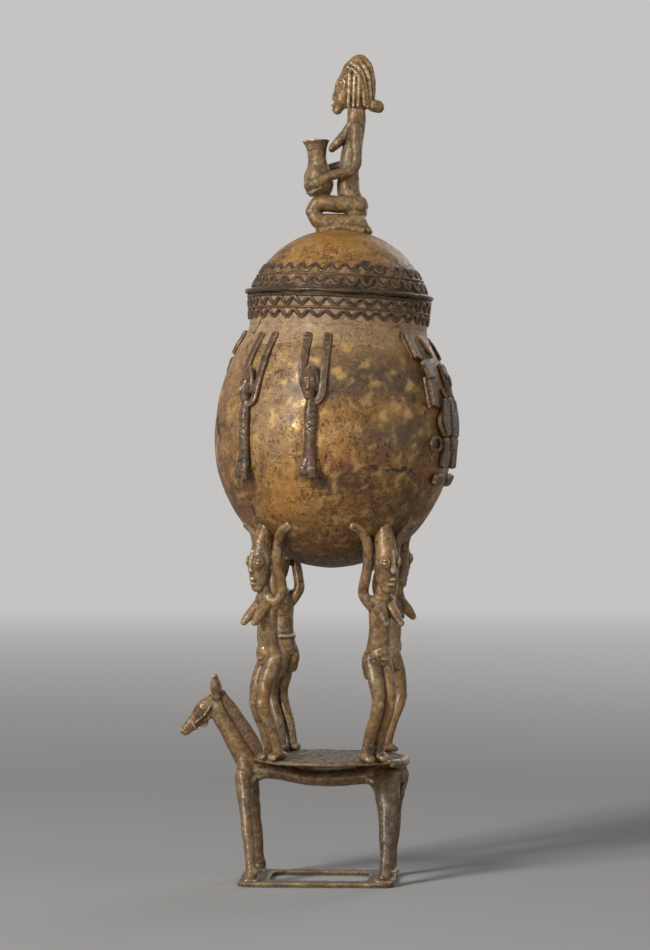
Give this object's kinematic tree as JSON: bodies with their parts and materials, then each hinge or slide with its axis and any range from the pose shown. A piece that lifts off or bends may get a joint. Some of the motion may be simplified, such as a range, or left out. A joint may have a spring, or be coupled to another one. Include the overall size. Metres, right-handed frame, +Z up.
{
  "type": "lidded bronze ointment pot on a horse stand",
  "caption": "Cast bronze lidded pot, carried by standing figures on a round plate on a horse's back; the lid lifts off by a kneeling figure.",
  "frame": {"origin": "on the surface that the ground frame stands on, under the middle of the object's box", "axes": "+Z up, the horse faces -X, and +Y is to the horse's right"},
  "size_m": [0.1395, 0.128, 0.4125],
  "materials": {
    "bare_bronze": "handled bronze, brown-gold with bright worn ridges",
    "worn_bronze": "brown bronze, polished on what stands proud",
    "ochre_bronze": "ochre-brown patina with dark speckle and grey patches",
    "dark_bronze": "dark red-brown patina",
    "grey_bronze": "dull grey-green patina"
  },
  "bodies": {
    "pot_on_stand": {"ground_frame": "grey_bronze", "horse_trunk": "bare_bronze", "horse_mane": "dark_bronze", "horse_left_foreleg": "bare_bronze", "horse_right_foreleg": "bare_bronze", "horse_left_hindleg": "dark_bronze", "horse_right_hindleg": "dark_bronze", "support_plate": "grey_bronze", "caryatid_back_right": "bare_bronze", "caryatid_back_left": "bare_bronze", "caryatid_front_left": "bare_bronze", "caryatid_front_right": "bare_bronze", "pot_bowl": "ochre_bronze", "pot_collar": "worn_bronze", "collar_lip_thread": "dark_bronze", "collar_upper_wave": "dark_bronze", "collar_middle_thread": "dark_bronze", "collar_lower_wave": "dark_bronze", "small_relief_1": "worn_bronze", "small_relief_2": "worn_bronze", "small_relief_3": "worn_bronze", "small_relief_4": "worn_bronze", "crouching_relief_1": "dark_bronze", "crouching_relief_2": "dark_bronze"},
    "lid": {"lid_dome": "ochre_bronze", "lid_flange": "grey_bronze", "lid_lip": "dark_bronze", "lid_lower_wave": "dark_bronze", "lid_middle_thread": "dark_bronze", "lid_upper_wave": "dark_bronze", "kneeling_woman": "worn_bronze", "offering_vessel": "worn_bronze"}
  },
  "joints": [
    {"name": "lid_lift", "type": "slide", "parent": "pot_on_stand", "child": "lid", "axis": [0.0419, 0, 0.9991], "range_m": [0, 0.06]}
  ]
}
